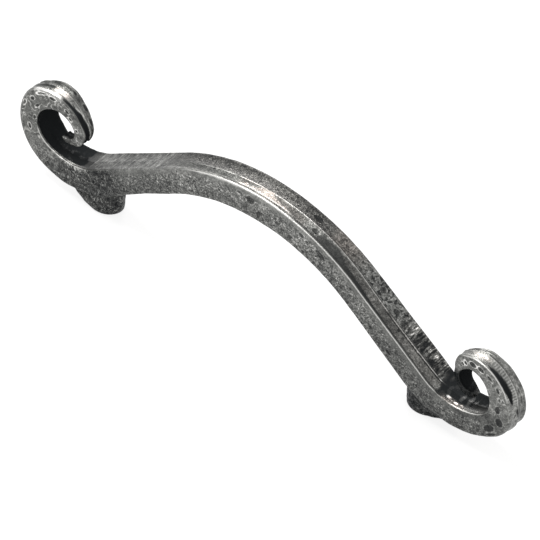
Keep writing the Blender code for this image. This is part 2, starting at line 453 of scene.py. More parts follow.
def soften(mesh, weight, rounds):
    """Draws each weighted point towards the middle of its neighbours, which fillets a corner."""
    edges = np.empty(2 * len(mesh.edges), dtype=np.int64)
    mesh.edges.foreach_get("vertices", edges)
    start, end = edges.reshape(-1, 2).T
    both, other = np.concatenate([start, end]), np.concatenate([end, start])
    points = read_vectors(mesh.vertices, "co")
    count = np.bincount(both, minlength=len(points))
    for _ in range(rounds):
        middle = np.stack([
            np.bincount(both, weights=points[other, axis], minlength=len(points)) / count
            for axis in range(3)
        ], axis=1)
        points += (middle - points) * (FILLET_PACE * weight)[:, None]
    write_points(mesh, points)


def fillet_posts(casting, rings, places, posts):
    """Rounds the corners where the posts run into the bar, less so on the near side of the right one."""
    points = read_vectors(casting.data.vertices, "co")
    on_bar, from_bar = nearest(points, np.concatenate(rings))
    _, from_post = nearest(points, np.concatenate([np.concatenate(post) for post in posts]))
    is_bar = from_bar < SAME_POINT
    from_join = np.where(is_bar, from_post, from_bar)
    weight = 1 - smooth_step(FILLET_START, FILLET_END, from_join)
    right_near = is_bar & (places[on_bar, 1] < 0) & (points[:, 0] > 0)
    weight *= np.where(right_near, RIGHT_NEAR_FILLET_SHARE, 1.0)
    soften(casting.data, weight, FILLET_ROUNDS)


def survey(casting, rings, places):
    """What the finish needs to know of each point: its place on the bar, and the faces that it is on."""
    points = read_vectors(casting.data.vertices, "co")
    normals = read_vectors(casting.data.vertex_normals, "vector")
    on_bar, from_bar = nearest(points, np.concatenate(rings))
    along, across, up = places[on_bar].T
    half, top = width_at(along) / 2, thickness_at(along) / 2
    rows = centreline(STATION_SPACING)
    heading = np.interp(np.abs(along), rows[:, 0], rows[:, 3])
    upward = np.stack([-np.sin(heading) * np.sign(along), np.zeros(len(along)), np.cos(heading)], axis=1)
    rise = (upward * normals).sum(axis=1)
    inset = half - np.abs(across)
    post = smooth_step(0.3 * MM, 1.2 * MM, from_bar) * (points[:, 2] < HEIGHT_OVER_POST)
    from_axis = np.hypot(np.abs(points[:, 0]) - POST_X, points[:, 1])
    below_tip = points[:, 2] < HOLE_DEPTH + DRILL_POINT + HOLE_MARGIN
    return types.SimpleNamespace(
        points=points, normals=normals, along=along, across=across, up=up, half=half, top=top,
        upward=upward, post=post, bar=1 - post,
        bored=(from_axis < COUNTERSINK_RADIUS + HOLE_MARGIN) & below_tip,
        near=smooth_step(0.55, 0.85, -normals[:, 1]),
        far=smooth_step(0.55, 0.85, normals[:, 1]),
        upper=smooth_step(0.05 * MM, 0.3 * MM, inset) * (up > 0) * (1 - post),
        lower=smooth_step(0.5, 0.8, -rise) * (1 - post),
    )


def make_casting():
    """The casting's plain form, and what its finish needs to know of each of its points."""
    rings, places = bar_surface()
    casting = loft("pull_casting", rings)
    posts = [post_rings(side) for side in (-1, 1)]
    for post in posts:
        combine(casting, loft("post", post), "UNION")
    fillet_posts(casting, rings, places, posts)
    for side in (-1, 1):
        combine(casting, loft("thread", thread_rings(side)), "DIFFERENCE")
    casting.data.shade_smooth()
    return casting, survey(casting, rings, places)


def dent_field(skin, across, rows):
    """How deep each point is worked in, and how far outside the nearest dent's rim it lies."""
    depth, outside = np.zeros(len(across)), np.full(len(across), NO_DENT)
    wobble = 0.16 * noise(skin.points, 0.6 * MM, 22)
    for middle, place, length, breadth in rows:
        reach = wobble + np.hypot(
            (skin.along - middle * MM) / (length * MM / 2), (across - place * MM) / (breadth * MM / 2)
        )
        size = min(length, breadth)
        depth = np.maximum(depth, size * np.clip(1 - reach**2, 0, 1) ** 1.5)
        outside = np.minimum(outside, (reach - 1) * size * MM / 2)
    return depth, outside


def scattered(count, low, high, spread, sizes, seed):
    """Rows for dent_field: dents strewn between two places along, in mm."""
    draw = np.random.default_rng(seed)
    return [
        (draw.uniform(low, high), draw.uniform(-spread, spread), *draw.uniform(*sizes, 2))
        for _ in range(count)
    ]


def find_dents(skin):
    """The dents of each face, as dent_field has them, over all points."""
    scrolls = scattered(10, 74, 104, 1.7, (0.8, 1.7), 3) + scattered(9, -106, -74, 1.7, (0.7, 1.5), 4)
    flanks = scattered(22, -70, 72, 2.8, (0.6, 1.5), 5)
    far = scrolls + flanks + scattered(6, 76, 103, 1.6, (1.2, 1.9), 6)
    far += scattered(4, -100, -76, 1.6, (1.2, 1.9), 7)
    depth, outside = np.zeros(len(skin.along)), np.full(len(skin.along), NO_DENT)
    for rows, place, face in (
        (list(NEAR_DENTS) + scattered(12, -72, 72, 2.8, (0.5, 0.9), 8), skin.up, skin.near),
        (far, skin.up, skin.far),
        (list(UPPER_PITS) + scattered(60, 26, 50, 3.2, (0.3, 0.6), 9), skin.across, skin.upper),
        (list(LOWER_PITS) + scattered(40, -105, 105, 3.2, (0.3, 0.8), 10), skin.across, skin.lower),
    ):
        face_depth, face_outside = dent_field(skin, place, rows)
        depth = np.maximum(depth, face_depth * face)
        outside = np.minimum(outside, face_outside + (1 - face) * MM)
    return depth, outside


def transverse(skin, cell, seed):
    """Random values that run across the bar, as the marks of a file do."""
    return noise(np.stack([skin.along / cell, skin.across / (3 * MM), skin.up / (3 * MM)], axis=1), 1.0, seed)


# From here on, p are the points, a is the distance along in mm and u the place across, -1 at the near side
def add_bar_zones(skin, zones):
    """The rough skin by the posts, the filed left flank and the chatter marks on the right one."""
    a = skin.along / MM
    zones.rough = np.maximum(between(a, -67, -47, 5) * zones.sides, skin.post)
    zones.filed = between(a, -58, -28, 4) * skin.upper
    zones.chatter = between(a, 41, 57, 2.5) * smooth_step(-0.12, 0.05, zones.u) * skin.upper


def add_scroll_zones(skin, zones):
    """The scrolls' sides, the marks on their outsides, and their black insides."""
    a, u, lower = skin.along / MM, zones.u, skin.lower
    zones.left_side = zones.scroll * zones.sides * (a < 0)
    zones.right_side = zones.scroll * zones.sides * (a > 0)
    zones.hatch = between(a, 83.5, 93.5, 1.5) * between(u, -0.26, 0.16, 0.07) * lower

    # Hollows like a leaf on the right scroll and like a wedge on the left, both painted dark as a painted
    # dark reflection
    leaf_width = interpolate(a, ((83.6, 0.0), (86.0, 0.27), (88.5, 0.32), (91.0, 0.22), (92.6, 0.0)))
    leaf_middle = interpolate(a, ((83.6, -0.33), (88.5, -0.56), (92.6, -0.64)))
    from_leaf = np.abs(u - leaf_middle) / np.maximum(leaf_width, 0.001)
    zones.leaf = (1 - smooth_step(0.85, 1.1, from_leaf)) * lower
    wedge_rows = ((95.5, -0.6), (98.5, -0.36), (102.0, -0.08), (105.5, 0.25), (108.0, 0.9))
    zones.wedge_edge = interpolate(-a, wedge_rows) + 0.06 * noise(skin.points, 1.0 * MM, 49)
    before_edge = 1 - smooth_step(-0.05, 0.05, u - zones.wedge_edge)
    wedge = smooth_step(95.3, 96.6, -a) * before_edge * lower
    narrowed = 0.3 * (1 - smooth_step(100, 104, -a))
    zones.wedge = wedge * smooth_step(-0.85, -0.65, u + narrowed)
    zones.dark = np.maximum(zones.leaf, zones.wedge)

    # The black inside starts at a ragged border, and leaves out a strip beside the right scroll's near bead
    border = np.where(a > 0, 57.5 - 1.5 * u, 58.0 + 1.6 * u) + 0.5 * zones.patches
    border += np.where(a > 0, 0.0, transverse(skin, 0.7 * MM, 17))
    fade = np.where(a > 0, 0.8, 2.6)
    inside = smooth_step(-1.0, 1.0, (np.abs(a) - border) / fade) * skin.upper
    beside_bead = 1 - smooth_step(-0.6, -0.45, u + 0.14 * zones.marks)
    zones.worn_strip = between(a, 60, 76, 1.5) * beside_bead * skin.upper
    zones.inside = inside * (1 - zones.worn_strip)


def add_edges(skin, zones):
    """Where the beads and the ridge run, and the crease over the right post."""
    a = skin.along / MM
    near_inset, far_inset = skin.half + skin.across, skin.half - skin.across
    drop = skin.top - np.abs(skin.up)
    corner = (1 - smooth_step(0.25 * MM, 0.75 * MM, drop)) * skin.bar
    zones.edge = np.where(near_inset < EDGE_ROUND, near_inset - drop, near_inset)
    zones.near_bead = hill(near_inset - drop, 0.1 * MM, 0.35 * MM) * corner
    zones.far_bead = hill(far_inset - drop, 0.1 * MM, 0.3 * MM) * corner
    zones.from_ridge = skin.across - ridge_shift(skin.along) * np.where(skin.up > 0, 1.0, -1.0)
    crease_height = interpolate(a, ((53.0, -3.3), (57.0, -3.0), (62.0, -2.4))) * MM
    zones.crease = np.where(skin.post > 0.02, -0.6 * MM * skin.post, skin.up - crease_height)
    zones.at_crease = between(a, 52.6, 62.0, 0.8) * (skin.points[:, 1] < -1.5 * MM)


def surface_zones(skin):
    """Shares of the kinds of surface that the finishing left, and places that the finish follows."""
    p = skin.points
    zones = types.SimpleNamespace(
        u=skin.across / skin.half,
        sides=np.maximum(skin.near, skin.far),
        scroll=smooth_step(70 * MM, 80 * MM, np.abs(skin.along)),
        # Random values in lumps of several mm, in lumps of 1 to 2 mm, and in marks across the bar
        slow=noise(p, 6 * MM, 31) + 0.7 * noise(p, 3 * MM, 32),
        patches=noise(p, 1.7 * MM, 46) + 0.6 * noise(p, 0.9 * MM, 47),
        marks=transverse(skin, 0.9 * MM, 18) + 0.6 * noise(p, 0.9 * MM, 39),
    )
    add_bar_zones(skin, zones)
    add_scroll_zones(skin, zones)
    add_edges(skin, zones)
    return zones


def relief(skin, zones, dents):
    """How far each point is worked out of the plain form, along its normal, or into it."""
    p, a = skin.points, skin.along / MM
    depth, outside = dents
    height = 0.05 * noise(p, 6.5 * MM, 11) + 0.022 * noise(p, 2.4 * MM, 12) + 0.012 * noise(p, 0.9 * MM, 13)
    height += zones.scroll * 0.04 * noise(p, 2.6 * MM, 14)
    height += zones.rough * (0.06 * noise(p, 1.2 * MM, 15) + 0.05 * noise(p, 0.65 * MM, 16))
    height += zones.filed * 0.015 * transverse(skin, 0.7 * MM, 17)
    height += zones.chatter * (0.08 * transverse(skin, 0.9 * MM, 18) + 0.05 * noise(p, 0.8 * MM, 19))
    height -= 0.2 * (zones.leaf + 0.8 * zones.wedge) * (1 - zones.near_bead)
    edge_wear = zones.near_bead + zones.far_bead
    height -= edge_wear * (0.02 + 0.05 * np.abs(noise(p, 2.0 * MM, 20)) + 0.06 * zones.scroll)
    height += edge_wear * between(a, -82, -58, 3) * 0.07 * noise(p, 0.8 * MM, 21)
    height -= 0.1 * depth - 0.02 * hill(outside, 0.1 * MM, 0.2 * MM)
    height -= 0.22 * zones.at_crease * (1 - smooth_step(-0.35 * MM, 0.0, zones.crease))
    filled = 0.15 * between(-a, 87, 91.5, 1) + 0.33 * between(a, 75.5, 80, 1) + 0.3 * between(a, 96, 100, 1)
    height += filled * skin.lower * hill(zones.u, 0.05, 0.5)
    height[skin.bored] = 0.0
    foot = 1 - smooth_step(0.1 * MM, 0.8 * MM, p[:, 2])
    return height * MM * (1 - foot)


def reshape(skin, zones):
    """How far hand finishing moved each point: the bar's faces in and out, and the posts aside."""
    def shift(rows):
        return interpolate(skin.along / MM, rows) * MM

    level = skin.up / skin.top
    far = smooth_step(-0.3, 0.8, zones.u)
    outside = -smooth_step(-0.1, 0.9, -level) * (shift(OUTSIDE_SHIFTS) + far * shift(OUTSIDE_FAR_SHIFTS))
    inside = smooth_step(-0.1, 0.9, level)
    inside *= far * shift(INSIDE_FAR_SHIFTS) + (1 - far) * shift(INSIDE_NEAR_SHIFTS)
    moved = skin.upward * ((outside + inside) * skin.bar)[:, None]
    x, y = skin.points[:, 0], skin.points[:, 1]
    left_post = skin.post * (x < 0)
    aside = np.where(x < 0, *POST_SHIFTS) * skin.post
    aside -= LEFT_POST_OUTWARD * left_post * smooth_step(POST_X, POST_X + 4 * MM, -x)
    nearer = LEFT_POST_NEARER * left_post * smooth_step(0.5 * MM, 3.5 * MM, -y)
    moved[:, 0] += np.where(skin.bored, 0.0, aside)
    moved[:, 1] -= np.where(skin.bored, 0.0, nearer)
    return moved


def paint(finish, weight, **targets):
    """Draws the named values of the finish towards their targets, as far as the weight says."""
    share = np.clip(weight, 0.0, 1.0)
    for name, target in targets.items():
        finish[name] = finish[name] + (target - finish[name]) * share


def paint_sides(finish, skin, zones):
    """Side faces: a smoother band under the edge, darker towards the bottom, the flanks and the posts."""
    a, slow, patches = skin.along / MM, zones.slow, zones.patches
    height = skin.up / skin.top
    tone = 0.56 + 0.035 * slow + 0.06 * patches
    tone += 0.05 * smooth_step(0.45, 0.85, height + 0.1 * slow)
    tone -= 0.06 * (1 - smooth_step(-0.5, 0.3, height + 0.3 * slow))
    tone -= 0.05 * between(a, 40, 72, 6) + 0.06 * between(a, -50, -30, 6)
    tone += 0.04 - 0.05 * between(a, 18, 72, 6) - 0.06 * smooth_step(60, 72, a)
    smoother = smooth_step(0.4, 0.8, height)
    paint(
        finish, zones.sides * (1 - zones.scroll), tone=tone, mottle=0.26 - 0.16 * smoother,
        web=0.3 - 0.25 * smoother, fine=0.4 - 0.3 * smoother, pitted=0.17 - 0.14 * smoother,
    )
    tone = np.where(a < 0, 0.21, 0.1) + 0.08 * patches
    paint(finish, zones.rough, tone=tone, mottle=0.12, web=0.5, fine=0.6, pitted=0.2)
    tone = 0.54 + 0.05 * patches + 0.03 * slow
    paint(finish, zones.left_side, tone=tone, mottle=0.07, web=0.4, fine=0.25, pitted=0.12)
    tone = 0.57 + 0.03 * slow + 0.045 * patches
    paint(finish, zones.right_side, tone=tone, mottle=0.07, web=0.5, fine=0.12, pitted=0.12)
    right_start = zones.right_side * (1 - smooth_step(77, 82, a))
    paint(finish, right_start, tone=0.37 + 0.06 * patches)
    tail = smooth_step(102, 105, a) * (zones.sides + skin.lower)
    paint(finish, tail, tone=0.05 + 0.05 * patches)


def paint_left_flank(finish, skin, zones):
    """The upper face's filed left flank, and the darker stretches from it to the top of the arch."""
    a, u, upper, patches = skin.along / MM, zones.u, skin.upper, zones.patches
    tone = 0.44 + 0.13 * transverse(skin, 0.7 * MM, 17) + 0.05 * zones.slow + 0.04 * patches
    paint(finish, zones.filed, tone=tone, mottle=0.24, web=0.25)
    shoulder = between(a, -30, -9, 2.5) * upper * between(u, -0.62, 0.05, 0.08)
    paint(finish, shoulder, tone=0.45 + 0.03 * patches)
    beyond_ridge = between(a, -30, 16, 3) * upper * smooth_step(-0.1, 0.05, u)
    tone = 0.35 + 0.05 * smooth_step(-12, -4, a) + 0.05 * patches - 0.05 * smooth_step(0.6, 1.0, u)
    paint(finish, beyond_ridge, tone=tone, mottle=0.19, web=0.4, pitted=0.14, warm=0.2)


def paint_arch(finish, skin, zones):
    """The bright, warm patch on top of the arch, worn metal with a painted highlight on it, and the painted
    shade between it and the ridge.
    """
    a, u, upper, patches = skin.along / MM, zones.u, skin.upper, zones.patches
    patch_top = interpolate(a, (
        (-9.0, -0.68), (-6.0, -0.42), (-3.0, -0.14), (0.5, -0.12), (1.5, -0.34), (4.5, -0.42),
        (7.0, -0.58), (10.0, -0.74),
    ))
    # Painted highlight: the patch and the white strip beside the groove are painted bright where the arch
    # catches the lamps, over worn metal.
    patch = between(a, -8.0, 9.0, 1.2) * upper * smooth_step(-0.86, -0.78, u)
    patch *= 1 - smooth_step(-0.06, 0.06, u - patch_top - 0.14 * patches)
    beside_groove = 1 - smooth_step(-0.58, -0.42, u + 0.09 * patches)
    tone = 0.66 + 0.12 * patches + 0.2 * beside_groove
    paint(finish, patch, tone=tone, mottle=0.15, pitted=0.0, warm=1.1 - 0.8 * beside_groove)
    # Painted shade between the patch and the ridge.
    shade = between(a, -8, 10, 1.5) * upper * between(u, patch_top, -0.12, 0.05) * (1 - patch)
    paint(finish, 0.9 * shade, tone=0.44 + 0.05 * patches)
    paint(finish, shade, warm=0.5)
    after = between(a, 9.0, 14, 1.5) * upper * between(u, -0.8, -0.15, 0.06)
    paint(finish, after, tone=0.58 + 0.06 * patches, mottle=0.18)


def paint_right_flank(finish, skin, zones):
    """The upper face's right flank: a painted dark reflection in a strip beside the bead, speckles and
    chatter marks.
    """
    a, u, upper, patches = skin.along / MM, zones.u, skin.upper, zones.patches
    # Painted dark reflection: the strip of the flute beside the bead is painted dark.
    strip_top = interpolate(a, (
        (13.5, -0.5), (15.5, -0.2), (20.0, -0.1), (22.5, -0.4), (28.0, -0.55), (34.0, -0.68), (44.0, -0.82),
    ))
    strip = between(a, 14.2, 44, 0.8) * upper * between(u, -0.86, strip_top, 0.05)
    strip_tone = interpolate(a, ((14.0, 0.38), (20.0, 0.36), (26.0, 0.2), (30.0, 0.08), (44.0, 0.12)))
    paint(finish, strip, tone=strip_tone + 0.02 * patches, mottle=0.06)
    beside = between(a, 20, 57, 2) * upper * between(u, strip_top, -0.12, 0.05) * (1 - strip)
    paint(finish, beside, tone=0.47 + 0.08 * patches + 0.09 * smooth_step(43, 49, a), mottle=0.16)
    speckled = between(a, 16, 42, 2) * upper * smooth_step(-0.08, 0.06, u)
    pitted = 0.2 + 0.18 * smooth_step(24, 32, a)
    paint(finish, speckled, tone=0.57 + 0.06 * patches, mottle=0.16, pitted=pitted)
    paint(finish, speckled * between(a, 13, 24, 4), warm=0.75)
    paint(finish, beside, warm=0.25)
    paint(finish, zones.chatter, tone=0.3 + 0.3 * zones.marks, mottle=0.5, warm=0.15)
    paint(finish, 0.7 * zones.chatter * smooth_step(0.75, 0.95, u), tone=0.5)


def paint_insides(finish, skin, zones):
    """Insides of the scrolls, almost black, with a worn strip beside the right one's near bead, painted
    glints on it, and painted light at the near end.
    """
    a, u, upper, patches = skin.along / MM, zones.u, skin.upper, zones.patches
    paint(finish, zones.inside, tone=0.02 + 0.07 * np.clip(patches, 0, 1), mottle=0.05)
    paint(finish, zones.inside * (a > 0), tone=0.04 + 0.3 * np.clip(zones.marks - 0.1, 0, 1))
    paint(finish, zones.worn_strip, tone=0.48 + 0.12 * patches)
    paint(finish, zones.worn_strip * (1 - smooth_step(66, 70, a)), warm=0.8)
    # Painted highlights: two glints painted white beside the right scroll's near bead.
    glint = hill(a, 61.7, 1.0) * hill(skin.across, -1.9 * MM, 0.45 * MM)
    second_glint = 0.9 * hill(a, 64.6, 0.8) * hill(skin.across, -2.3 * MM, 0.4 * MM)
    glints = np.maximum(glint, second_glint) * upper
    paint(finish, smooth_step(0.3, 0.6, glints + 0.1 * patches), tone=1.0)
    # Painted light: the near end of the right scroll's inside is painted lighter.
    lit_end = between(a, 70, 79, 2.5) * upper * (1 - smooth_step(-0.5, 0.3, u))
    paint(finish, 0.8 * lit_end, tone=0.5)


def paint_outsides(finish, skin, zones):
    """Outsides of the scrolls and the underside of the bar, with painted highlights, a painted shadow and
    painted dark reflections on the scrolls.
    """
    a, u, lower, patches = skin.along / MM, zones.u, skin.lower, zones.patches
    scroll = lower * zones.scroll
    paint(finish, lower * (1 - zones.scroll), tone=0.48 + 0.04 * patches)
    tone = np.where(a < 0, 0.56, 0.61) + 0.04 * zones.slow + 0.04 * patches
    paint(finish, scroll, tone=tone, mottle=0.08)
    paint(finish, scroll * smooth_step(0.25, 0.5, u), tone=np.where(a < 0, 0.47, 0.59) + 0.12 * patches)
    wedge_rim = between(-a, 96.5, 107, 1) * hill(u - zones.wedge_edge, 0.1, 0.09) * lower
    paint(finish, wedge_rim, tone=0.78 + 0.1 * patches)
    # Painted shadow: a dark lens painted along the left scroll's far flute.
    lens_middle = interpolate(-a, ((88.0, -0.75), (94.0, 0.05))) * MM
    lens = between(-a, 88.6, 93.4, 0.8) * hill(skin.across, lens_middle, 0.32 * MM) * lower
    paint(finish, 1.4 * lens, tone=0.2)
    # Painted highlight: the left scroll's near flute is painted white, fading further along.
    painted_flute_highlight = between(-a, 89.5, 96.5, 1.0) * between(u, -1.1, -0.62, 0.1)
    painted_flute_highlight *= (lower + 0.4 * skin.near) * (skin.up < -0.45 * skin.top)
    paint(finish, painted_flute_highlight, tone=1.0)
    fading_painted_highlight = between(-a, 95.5, 99.5, 1.5) * between(u, -1.1, -0.72, 0.08) * lower
    paint(finish, fading_painted_highlight, tone=0.66)
    # Painted highlights: warm glints painted on the outsides of both scrolls.
    left_glint = between(-a, 93.0, 96.4, 0.7) * between(u, -0.42, 0.12, 0.1) * lower
    paint(finish, left_glint, tone=0.8 + 0.08 * patches, warm=0.7)
    right_glint = between(a, 93.0, 96.3, 1.0) * between(u, -0.28, 0.1, 0.1) * lower
    paint(finish, right_glint, tone=0.84 + 0.05 * patches, warm=0.7)
    crack_middle = 0.12 + 0.16 * noise(skin.points, 1.1 * MM, 52)
    crack = between(a, 75.5, 82.5, 0.8) * hill(u, crack_middle, 0.11) * lower
    paint(finish, 1.6 * crack, tone=0.08)
    paint(finish, zones.hatch, tone=0.66, mottle=0.05)
    # Painted dark reflection: the leaf and the wedge in the near flutes are painted almost black.
    paint(finish, zones.leaf, tone=0.03)
    paint(finish, zones.wedge, tone=0.02)
    paint(finish, zones.dark, mottle=0.02)


def paint_jagged_edge(finish, skin, zones):
    """The uneven edge of the upper face where the left flank runs into its scroll."""
    at_edge = smooth_step(-1.3 * MM, -0.4 * MM, zones.edge) * (skin.up > 0) * (zones.edge < 0.9 * MM)
    jagged = at_edge * between(skin.along / MM, -80, -57, 2)
    paint(finish, jagged, tone=0.52 + 0.22 * noise(skin.points, 0.8 * MM, 48))


def ridge_lines(skin):
    """How far the ridge is worn bright, and the painted shadow lines beside it."""
    a = skin.along / MM
    topside = (skin.up > 0) * skin.bar
    ridge = interpolate(a, (
        (-23.0, 0.0), (-18.0, 0.7), (-4.0, 0.95), (12.0, 0.95), (16.0, 0.6), (42.0, 0.7), (57.0, 0.8),
        (59.0, 0.0),
    ))
    ridge = ridge * smooth_step(-0.8, -0.4, noise(skin.points, 1.6 * MM, 43)) * topside
    left_scroll = 0.8 * between(-a, 93.5, 106, 1)
    right_scroll = between(a, 78, 97, 1.5)
    scroll_ridge = np.where(a > 0, right_scroll, left_scroll) * (skin.up < 0)
    shadow = interpolate(a, (
        (-34.0, 0.0), (-28.0, 0.9), (-22.0, 0.5), (-6.0, 0.8), (40.0, 0.6), (57.0, 0.9), (59.0, 0.0),
    ))
    twin = 0.9 * between(a, 36, 58, 1.5)
    return {
        "ridge": np.maximum(ridge, 0.55 * scroll_ridge), "shadow": shadow * topside, "twin": twin * topside,
    }


def bead_lines(skin, zones):
    """How far the near beads are worn bright, and how far from the middle of that line each point is."""
    p, a = skin.points, skin.along / MM
    bead = interpolate(
        a, ((-62.0, 0.0), (-58.0, 0.3), (-24.0, 0.35), (-18.0, 1.0), (76.0, 1.0), (80.0, 0.0))
    )
    broken = bead * smooth_step(-0.5, 0.3, noise(p, 1.6 * MM, 43))
    bead = np.where(between(a, 57, 64, 1) > 0.5, broken, bead)
    jagged = between(a, -80, -57, 2) * smooth_step(-0.8, -0.3, noise(p, 1.1 * MM, 44))
    breaks = noise(p, 1.8 * MM, 45)
    inner_rim = 0.6 * between(-a, 79, 112, 2) * smooth_step(-0.7, -0.1, breaks)
    above = np.maximum(np.maximum(bead, jagged), inner_rim)
    below = between(a, 85.5, 98.5, 0.8) + 0.6 * between(-a, 89, 106, 1.5)
    below *= smooth_step(-0.9, -0.4, breaks) * (skin.up < 0) * (zones.scroll > 0.5)
    reach = interpolate(a, (
        (-60.0, 0.42), (-22.0, 0.36), (-12.0, 0.74), (7.0, 0.7), (14.0, 0.46), (26.0, 0.34), (57.0, 0.34),
        (66.0, 0.4), (72.0, 0.42),
    ))
    reach *= 1 + 0.25 * noise(p, 1.3 * MM, 51)
    return {"bead": np.where(skin.up > 0, above, below), "from_bead": (zones.edge / MM - 0.12) / reach}


def groove_line(skin, zones):
    """How dark the painted shade in the groove inside the near bead is, and how far from its middle each
    point is.
    """
    a = skin.along / MM
    groove = interpolate(
        a, ((-15.0, 0.0), (-11.0, 0.95), (14.0, 0.95), (20.0, 0.8), (57.0, 0.8), (60.0, 0.0))
    )
    groove = groove * ((skin.up > 0) * skin.bar)
    groove *= 0.7 + 0.3 * smooth_step(-0.7, -0.2, noise(skin.points, 2.2 * MM, 50))
    place = interpolate(a, ((8.0, 1.03), (18.0, 0.78), (60.0, 0.66)))
    reach = interpolate(a, ((8.0, 0.68), (18.0, 0.5), (60.0, 0.36)))
    return {"groove": groove, "from_groove": (zones.edge / MM - place) / reach}


def patina(skin, zones):
    """The finish at each point: its tone, from 0 for black patina to 1 for bright metal, painted highlights
    and shade included, and its marks.
    """
    finish = {
        "tone": 0.58 + 0.03 * zones.slow + 0.025 * zones.patches,
        "mottle": 0.15, "web": 0.2, "fine": 0.3, "pitted": 0.08, "warm": 0.0,
    }
    for stage in (
        paint_sides, paint_left_flank, paint_arch, paint_right_flank, paint_insides, paint_outsides,
    ):
        stage(finish, skin, zones)
    covered = np.maximum(zones.inside, zones.dark)
    paint(finish, covered, web=0.0, fine=0.0, pitted=0.0)
    paint_jagged_edge(finish, skin, zones)
    finish["tone"][skin.bored] = 0.5
    finish["tone"] = np.clip(finish["tone"], 0.0, 1.0)
    left_side, right_side = zones.left_side, zones.right_side
    eye = 0.09 + left_side * 0.22 + right_side * 0.07
    eye += 0.3 * right_side * between(skin.along / MM, 92, 99, 1)
    creased = smooth_step(-0.9, 0.1, noise(skin.points, 2.5 * MM, 53))
    return {
        **finish, **ridge_lines(skin), **bead_lines(skin, zones), **groove_line(skin, zones),
        "squiggles": zones.rough, "creases": (0.75 * left_side + 0.35 * right_side) * creased,
        "eye": eye * (0.9 + 0.5 * zones.patches) * (1 - zones.inside), "open": 1 - covered,
        "hatch": zones.hatch, "streaks": np.clip(zones.filed + zones.chatter, 0.0, 1.0),
        "crease_share": zones.at_crease * zones.sides,
    }


def work_surface(casting, skin):
    """Moves each point to where the finishing left it, and writes down the finish there."""
    zones = surface_zones(skin)
    dents = find_dents(skin)
    moved = skin.points + reshape(skin, zones) + skin.normals * relief(skin, zones, dents)[:, None]
    write_points(casting.data, moved)
    layers = patina(skin, zones)
    layers.update(from_ridge=zones.from_ridge / MM, dent=dents[1] / MM, crease=zones.crease / MM)
    for name, values in layers.items():
        layer = casting.data.attributes.new(name, "FLOAT", "POINT")
        layer.data.foreach_set("value", values)
    place = np.stack([skin.along, skin.across, skin.up], axis=1) / MM
    layer = casting.data.attributes.new("place", "FLOAT_VECTOR", "POINT")
    layer.data.foreach_set("vector", place.ravel())


def add_node(tree, kind, inputs, **settings):
    """A node with its settings, whose inputs are given as numbers or as the sockets that feed them."""
    node = tree.nodes.new(kind)
    for name, value in settings.items():
        setattr(node, name, value)
    for name, value in inputs.items():
        if isinstance(value, bpy.types.NodeSocket):
            tree.links.new(value, node.inputs[name])
        else:
            node.inputs[name].default_value = value
    return node


def maths(tree, operation, *values):
    return add_node(tree, "ShaderNodeMath", dict(enumerate(values)), operation=operation).outputs[0]


def step(tree, value, low, high):
    """0 below low and 1 above high, smooth between; the other way round where low is above high."""
    inputs = {"Value": value, "From Min": min(low, high), "From Max": max(low, high)}
    inputs["To Min"], inputs["To Max"] = (0.0, 1.0) if low < high else (1.0, 0.0)
    return add_node(tree, "ShaderNodeMapRange", inputs, interpolation_type="SMOOTHSTEP").outputs["Result"]


def band(tree, value, middle, reach):
    """1 where value is at middle, falling to 0 a reach away."""
    away = maths(tree, "ABSOLUTE", maths(tree, "SUBTRACT", value, middle))
    return step(tree, away, reach, 0.1 * reach)


def toward(tree, value, target, *weights):
    """Value drawn towards target by the product of the weights."""
    weight = weights[0]
    for other in weights[1:]:
        weight = maths(tree, "MULTIPLY", weight, other)
    mix = add_node(tree, "ShaderNodeMix", {"Factor": weight, "A": value, "B": target})
    return mix.outputs["Result"]


def lumps(tree, vector, scale, detail, distortion=0.0):
    """Noise about 0, mostly between -1 and 1."""
    inputs = {"Vector": vector, "Scale": scale, "Detail": detail, "Roughness": 0.6, "Distortion": distortion}
    noise_node = add_node(tree, "ShaderNodeTexNoise", inputs)
    return maths(tree, "MULTIPLY", maths(tree, "SUBTRACT", noise_node.outputs["Fac"], 0.5), 5.0)


def layer(tree, name, output="Fac"):
    """The values that the casting's points carry under this name."""
    return add_node(tree, "ShaderNodeAttribute", {}, attribute_name=name).outputs[output]


def scaled(tree, vector, factors):
    node = add_node(tree, "ShaderNodeVectorMath", {0: vector, 1: factors}, operation="MULTIPLY")
    return node.outputs["Vector"]


def grained_skin(tree, spot, place, pebbles):
    """Height of the skin's grain, which runs in strokes across the bar where it was filed."""
    grain = lumps(tree, spot, 3.2, 2.0)
    skin = maths(tree, "ADD", maths(tree, "MULTIPLY", grain, 0.75), maths(tree, "MULTIPLY", pebbles, 0.55))
    strokes = lumps(tree, scaled(tree, place, (2.0, 0.6, 0.6)), 1.0, 4.0)
    return toward(tree, skin, strokes, layer(tree, "streaks"))


def light_web(tree, spot):
    """Light lines that wander over the skin, of four kinds."""
    web = 0.0
    for name, scale, detail, distortion, middle, reach in (
        ("fine", 1.4, 0.5, 0.6, 0.1, 0.24), ("web", 0.55, 1.0, 1.2, 0.0, 0.15),
        ("squiggles", 0.45, 0.7, 1.8, 0.0, 0.2), ("creases", 0.5, 0.0, 0.6, 0.0, 0.24),
    ):
        line = band(tree, lumps(tree, spot, scale, detail, distortion), middle, reach)
        web = maths(tree, "MULTIPLY_ADD", line, layer(tree, name), web)
    return web


